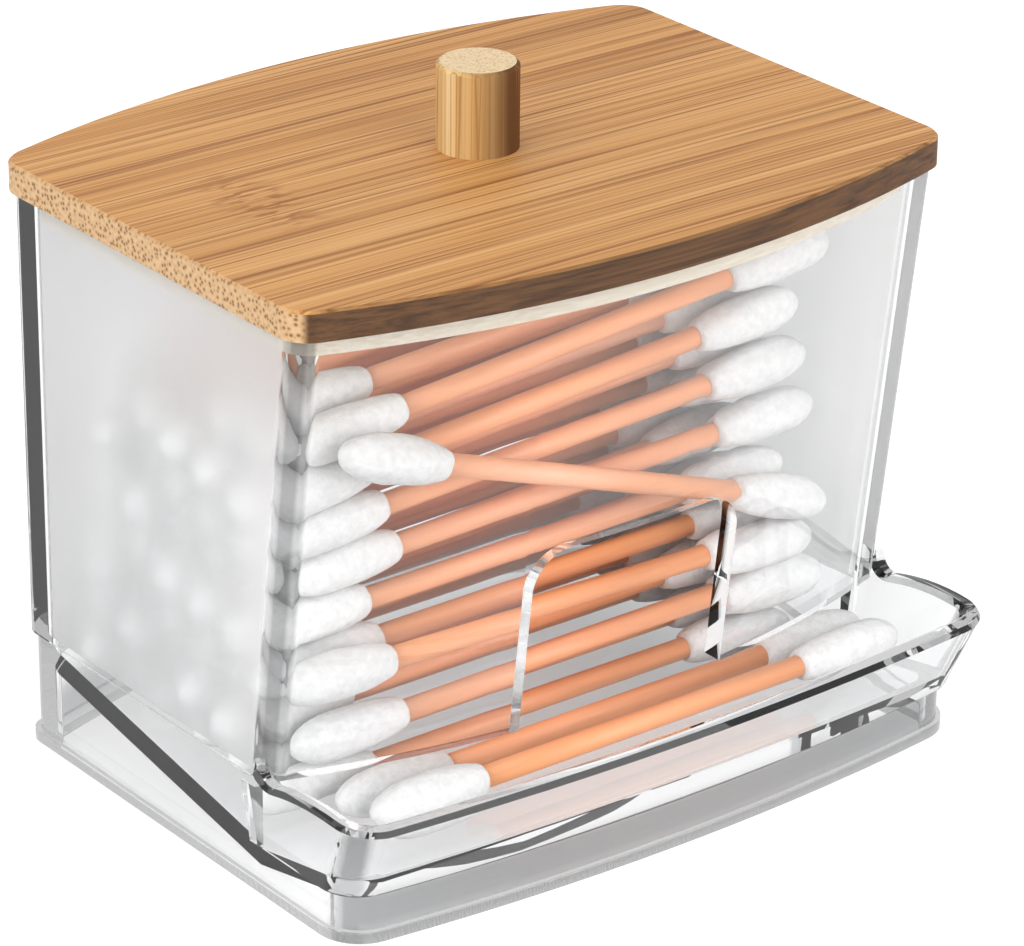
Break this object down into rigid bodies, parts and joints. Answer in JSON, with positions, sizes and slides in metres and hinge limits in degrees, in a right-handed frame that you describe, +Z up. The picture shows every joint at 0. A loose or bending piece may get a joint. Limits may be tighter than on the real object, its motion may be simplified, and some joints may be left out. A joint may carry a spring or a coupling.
{
  "type": "cotton swab dispenser",
  "caption": "Clear plastic countertop tank with a finger notch, sloping floor and scoop tray that feeds out cotton swabs, under a lift-off bamboo lid with a dowel knob.",
  "frame": {"origin": "middle of the footprint, on the surface it stands on", "axes": "+Z up, +X to the right seen from the tray side, -Y towards the tray"},
  "size_m": [0.0914, 0.0769, 0.0817],
  "materials": {
    "clear_plastic": "clear, polished",
    "bamboo_board": "fine straight grain, satin oil",
    "bamboo_dowel": "turned, upright fibres, satin",
    "screw_steel": "bright zinc",
    "swab_stick": "smooth rolled paper, salmon",
    "swab_cotton": "loose white cotton"
  },
  "bodies": {
    "dispenser": {"body": "clear_plastic", "swab_sticks": "swab_stick", "swab_tips": "swab_cotton"},
    "lid": {"lid_board": "bamboo_board", "lid_knob": "bamboo_dowel", "knob_screw": "screw_steel"}
  },
  "joints": [
    {"name": "lid_lift", "type": "slide", "parent": "dispenser", "child": "lid", "axis": [0, 0, 1], "range_m": [0, 0.04]}
  ]
}
